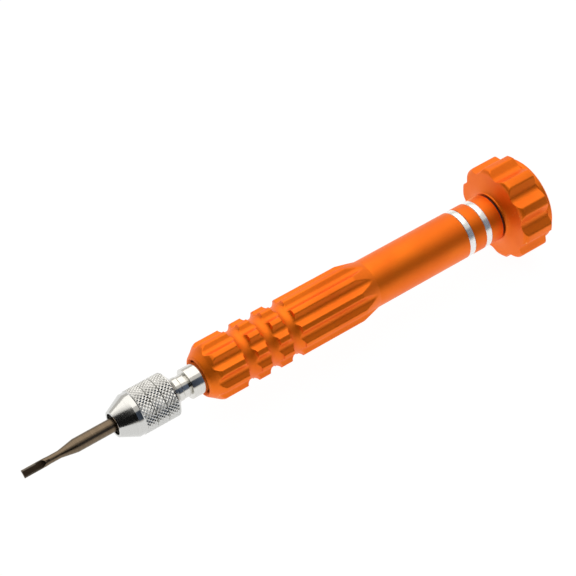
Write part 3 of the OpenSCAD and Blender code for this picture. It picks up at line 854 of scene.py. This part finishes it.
# %% Rubber and nylon
def soft_material(name, base, tint, roughness, bump):
    """A matt black rubber or nylon with a fine grain."""
    material = bpy.data.materials.new(name)
    material.use_nodes = True
    tree = material.node_tree
    shader = tree.nodes["Principled BSDF"]
    skin = group_node(tree, blasted, Grain_per_metre=5000.0, Cloud_per_metre=400.0)
    colour = add_node(tree, "ShaderNodeMix", data_type="RGBA")
    colour.inputs[6].default_value = (*base, 1)
    colour.inputs[7].default_value = (*tint, 1)
    tree.links.new(skin.outputs["Cloud"], colour.inputs[0])
    tree.links.new(colour.outputs[2], shader.inputs["Base Color"])
    rough = add_node(tree, "ShaderNodeMapRange", {
        "Value": skin.outputs["Cloud"], "To Min": roughness[0], "To Max": roughness[1]})
    tree.links.new(rough.outputs[0], shader.inputs["Roughness"])
    relief = add_node(tree, "ShaderNodeBump", {
        "Height": skin.outputs["Height"], "Strength": bump, "Distance": 0.03 * MM})
    tree.links.new(relief.outputs[0], shader.inputs["Normal"])
    return material


rubber = soft_material("seal_rubber", (0.018, 0.018, 0.019), (0.035, 0.035, 0.036), (0.55, 0.75), 0.3)
# The nylon dust seal fills the gap between the plug and the cap; its near-black colour is also painted
# shade for that gap.
nylon = soft_material("seal_nylon", (0.012, 0.010, 0.009), (0.02, 0.018, 0.017), (0.5, 0.65), 0.15)

# %% Finishes of the hidden parts
fine = (turning, "Streaks", turned_marks)
fine_height = (turning, "Height", turned_marks)
collet_steel = metal("collet_steel", (0.10, 0.09, 0.08), (0.06, 0.055, 0.05), (0.3, 0.45),
                     fine, fine_height, 0.1)
nickel = metal("magnet_nickel", (0.62, 0.60, 0.57), (0.5, 0.48, 0.45), (0.15, 0.3), fine, fine_height, 0.04)
race_steel = metal("bearing_steel", (0.7, 0.7, 0.72), (0.6, 0.6, 0.62), (0.1, 0.2), fine, fine_height, 0.04)
brass = metal("cage_brass", (0.72, 0.5, 0.2), (0.6, 0.4, 0.14), (0.25, 0.4), fine, fine_height, 0.08)
phosphate = metal("clip_steel", (0.05, 0.05, 0.052), (0.03, 0.03, 0.03), (0.45, 0.6), fine, fine_height,
                  0.15)
zinc = metal("screw_steel", (0.62, 0.63, 0.66), (0.5, 0.51, 0.54), (0.22, 0.36), fine, fine_height, 0.08)
finishes = {
    "collet": collet_steel, "bit_magnet": nickel, "plug_oring": rubber, "bit_cushion": rubber,
    "dust_seal": nylon, "bearing_inner": race_steel, "bearing_outer": race_steel,
    "bearing_balls": race_steel, "bearing_shields": race_steel, "bearing_cage": brass,
    "bearing_clip": phosphate, "pivot_washer": zinc, "pivot_screw": zinc,
    "bit_phillips_0": bit_steel, "bit_phillips_00": bit_steel, "bit_torx_5": bit_steel,
    "bit_torx_6": bit_steel}
for node, material in finishes.items():
    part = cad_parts[node]
    part.data.materials.clear()
    part.data.materials.append(material)
print("kept from the exact model:", len(finishes), "parts")

# %% [markdown]
# ## Studio
#
# Polished metal shows its surroundings and little else, so the studio matters as much as the shader. A
# pale tent gives clean bright metal with no shape; what gives it shape is one dark strip, the unlit room
# seen between the overhead light and the table. The tent is also open beyond the blade's end, so that a
# cone facing that way stays dark. Here the tent is the world, the strip and the open end are dark parts
# of it, and the table is a pale plane that glows, so that it stays white.

# %% World: a pale tent with a dark strip
STRIP_FROM = 34
STRIP_TO = 84
STRIP_EDGE = 2
TENT = (0.72, 0.70, 0.665, 1)
ROOM_BLACK = (0.008, 0.008, 0.008, 1)
ROOM_BLUE = (0.11, 0.14, 0.20, 1)

world = bpy.data.worlds.new("tent")
bpy.context.scene.world = world
world.use_nodes = True
tree = world.node_tree
tree.nodes.clear()
direction = add_node(tree, "ShaderNodeTexCoord").outputs["Generated"]
parts = add_node(tree, "ShaderNodeSeparateXYZ", {0: direction})
height_angle = math_node(tree, "ARCTAN2", math_node(tree, "MULTIPLY", parts.outputs["Y"], -1.0),
                         parts.outputs["Z"])


def strip(low, high, edge):
    """1 between two angles from straight up towards the front, in degrees, with soft edges."""
    rise = add_node(tree, "ShaderNodeMapRange", {
        "Value": height_angle, "From Min": math.radians(low - edge), "From Max": math.radians(low + edge)})
    fall = add_node(tree, "ShaderNodeMapRange", {
        "Value": height_angle, "From Min": math.radians(high - edge), "From Max": math.radians(high + edge),
        "To Min": 1.0, "To Max": 0.0})
    return math_node(tree, "MULTIPLY", rise.outputs[0], fall.outputs[0])


open_end = add_node(tree, "ShaderNodeMapRange", {
    "Value": parts.outputs["X"], "From Min": -0.47, "From Max": -0.55})
dark = math_node(tree, "MAXIMUM", strip(STRIP_FROM, STRIP_TO, STRIP_EDGE), open_end.outputs[0])
end_of_room = add_node(tree, "ShaderNodeMapRange", {
    "Value": parts.outputs["X"], "From Min": 0.1, "From Max": 0.35})
room = add_node(tree, "ShaderNodeMix", data_type="RGBA")
room.inputs[6].default_value = ROOM_BLACK
room.inputs[7].default_value = ROOM_BLUE
tree.links.new(end_of_room.outputs[0], room.inputs[0])
tent = add_node(tree, "ShaderNodeMix", data_type="RGBA")
tent.inputs[6].default_value = TENT
tree.links.new(room.outputs[2], tent.inputs[7])
tree.links.new(dark, tent.inputs[0])
background = add_node(tree, "ShaderNodeBackground", {"Color": tent.outputs[2], "Strength": 1.0})
output = add_node(tree, "ShaderNodeOutputWorld")
tree.links.new(background.outputs[0], output.inputs["Surface"])

# %% Lights
def area_light(name, place, size, power, colour=(1, 1, 1)):
    """A square soft light that points at the middle of the tool."""
    lamp = bpy.data.lights.new(name, "AREA")
    lamp.shape = "SQUARE"
    lamp.size = size
    lamp.energy = power
    lamp.color = colour
    light = bpy.data.objects.new(name, lamp)
    light.location = place
    middle = Vector((HANDLE_START + 20 * MM, 0, 0))
    light.rotation_euler = (middle - light.location).to_track_quat("-Z", "Y").to_euler()
    bpy.context.scene.collection.objects.link(light)


area_light("overhead", Vector((0.05, 0.25, 0.45)), 0.8, 1.9, (1.0, 0.97, 0.93))

# %% Table
TABLE_HALF = 1.5
TABLE_GLOW = 0.97
table_z = -CAP_R - 0.05 * MM
table_mesh = bmesh.new()
bmesh.ops.create_grid(table_mesh, x_segments=1, y_segments=1, size=TABLE_HALF)
bmesh.ops.translate(table_mesh, verts=table_mesh.verts, vec=(0.06, 0, table_z))
table = finish_mesh("table", table_mesh)
paper = bpy.data.materials.new("white_paper")
paper.use_nodes = True
paper_shader = paper.node_tree.nodes["Principled BSDF"]
paper_shader.inputs["Base Color"].default_value = (0.05, 0.05, 0.05, 1)
paper_shader.inputs["Roughness"].default_value = 0.9
paper_shader.inputs["Emission Color"].default_value = (1, 1, 1, 1)
paper_shader.inputs["Emission Strength"].default_value = TABLE_GLOW
table.data.materials.append(paper)
table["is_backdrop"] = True
bpy.context.scene.view_settings.view_transform = "Standard"
print("table at", round(table_z / MM, 2), "mm")

# %% Compare sizes and finish
looks_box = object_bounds()
for label, (low, high) in (("exact", cad_box), ("looks", looks_box)):
    print(label, [round(x / MM, 2) for x in low], [round(x / MM, 2) for x in high])
